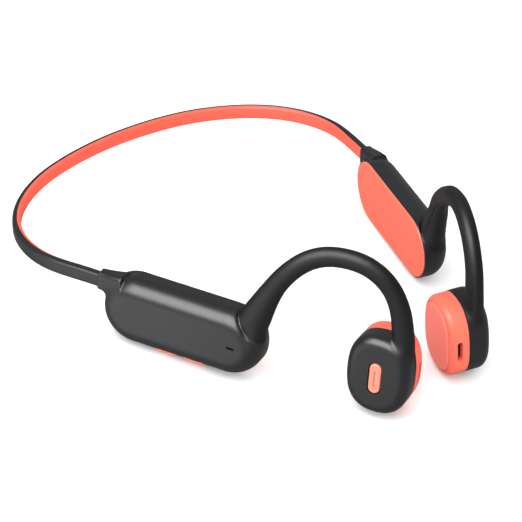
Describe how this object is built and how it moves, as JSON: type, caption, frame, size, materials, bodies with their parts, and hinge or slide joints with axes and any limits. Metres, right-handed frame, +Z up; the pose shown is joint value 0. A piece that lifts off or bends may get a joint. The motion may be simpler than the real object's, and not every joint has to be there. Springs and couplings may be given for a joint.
{
  "type": "bone conduction headphones",
  "caption": "Neckband bone conduction headphones: a sprung band, a flat control pod behind each ear, over-ear hooks and vibrating speakers with skin pads.",
  "frame": {"origin": "centre of the bounding box on the plane the headset rests on", "axes": "+Z up, +X towards the wearer's left, the wearer faces -Y; the headset stands as it rests on a table, on the lower ends of its speakers and pods, so the band mid plane is tilted 7.2 degrees about X"},
  "size_m": [0.1248, 0.155, 0.0515],
  "materials": {
    "black_seal": "black elastomer, foam or woven mesh, matte",
    "charcoal_plastic": "charcoal moulded plastic with a soft-touch matte coat",
    "charcoal_silicone": "charcoal silicone, satin matte",
    "chip_package": "moulded epoxy, matte",
    "circuit_board": "solder mask, satin",
    "copper_winding": "enamelled copper winding",
    "coral_button": "coral moulded button, satin",
    "coral_plastic": "coral moulded plastic with a soft-touch matte coat",
    "coral_silicone": "coral silicone, matte",
    "coral_skin_pad": "soft coral silicone, fine matte texture",
    "nickel_silver_skin": "nickel plate or laminated foil",
    "steel": "stamped steel",
    "titanium_wire": "drawn titanium alloy wire, bare"
  },
  "bodies": {
    "right_side": {"right_band_sleeve": "charcoal_silicone", "right_band_liner": "coral_silicone", "right_band_wire": "titanium_wire", "right_band_cable": "black_seal", "right_band_boot": "charcoal_silicone", "right_pod_shell": "charcoal_plastic", "right_pod_cover": "coral_plastic", "right_pod_seal": "black_seal", "main_board": "circuit_board", "main_chip": "chip_package", "volume_up_switch": "steel", "volume_down_switch": "steel", "microphone": "steel", "microphone_mesh": "black_seal", "right_ear_hook": "charcoal_silicone", "right_hook_wire": "titanium_wire", "right_hook_cable": "black_seal", "right_speaker_shell": "charcoal_plastic", "right_speaker_housing": "coral_plastic", "right_skin_pad": "coral_skin_pad", "right_vent_mesh": "black_seal", "right_speaker_seal": "black_seal", "right_driver_frame": "black_seal", "right_spring_plate": "steel", "right_voice_coil": "copper_winding", "action_switch": "steel"},
    "left_side": {"left_band_sleeve": "charcoal_silicone", "left_band_liner": "coral_silicone", "left_band_wire": "titanium_wire", "left_band_cable": "black_seal", "left_band_boot": "charcoal_silicone", "left_pod_shell": "charcoal_plastic", "left_pod_cover": "coral_plastic", "left_pod_seal": "black_seal", "battery_cell": "nickel_silver_skin", "battery_board": "circuit_board", "battery_foam": "black_seal", "left_ear_hook": "charcoal_silicone", "left_hook_wire": "titanium_wire", "left_hook_cable": "black_seal", "left_speaker_shell": "charcoal_plastic", "left_speaker_housing": "coral_plastic", "left_skin_pad": "coral_skin_pad", "left_vent_mesh": "black_seal", "left_speaker_seal": "black_seal", "left_driver_frame": "black_seal", "left_spring_plate": "steel", "left_voice_coil": "copper_winding"},
    "volume_up_button": {"volume_up_button": "coral_button"},
    "volume_down_button": {"volume_down_button": "coral_button"},
    "action_button": {"action_button": "coral_button"},
    "right_motor": {"right_magnet": "nickel_silver_skin", "right_yoke": "steel"},
    "left_motor": {"left_magnet": "nickel_silver_skin", "left_yoke": "steel"}
  },
  "joints": [
    {"name": "band_flex", "type": "hinge", "parent": "right_side", "child": "left_side", "pos_m": [0, 0.07743, 0.00832], "axis": [0, 0.1253, 0.9921], "range_deg": [0, 45], "stiffness_Nm_per_rad": 0.25},
    {"name": "volume_up_press", "type": "slide", "parent": "right_side", "child": "volume_up_button", "axis": [0.0651, 0.0707, 0.9954], "range_m": [0, 0.0004]},
    {"name": "volume_down_press", "type": "slide", "parent": "right_side", "child": "volume_down_button", "axis": [0.0651, 0.0707, 0.9954], "range_m": [0, 0.0004]},
    {"name": "action_press", "type": "slide", "parent": "right_side", "child": "action_button", "axis": [0.9272, 0.3571, -0.1129], "range_m": [0, 0.0004]},
    {"name": "right_driver_stroke", "type": "slide", "parent": "right_side", "child": "right_motor", "axis": [-0.9272, -0.3571, 0.1129], "range_m": [-0.00015, 0.00015]},
    {"name": "left_driver_stroke", "type": "slide", "parent": "left_side", "child": "left_motor", "axis": [0.9272, -0.3571, 0.1129], "range_m": [-0.00015, 0.00015]}
  ]
}
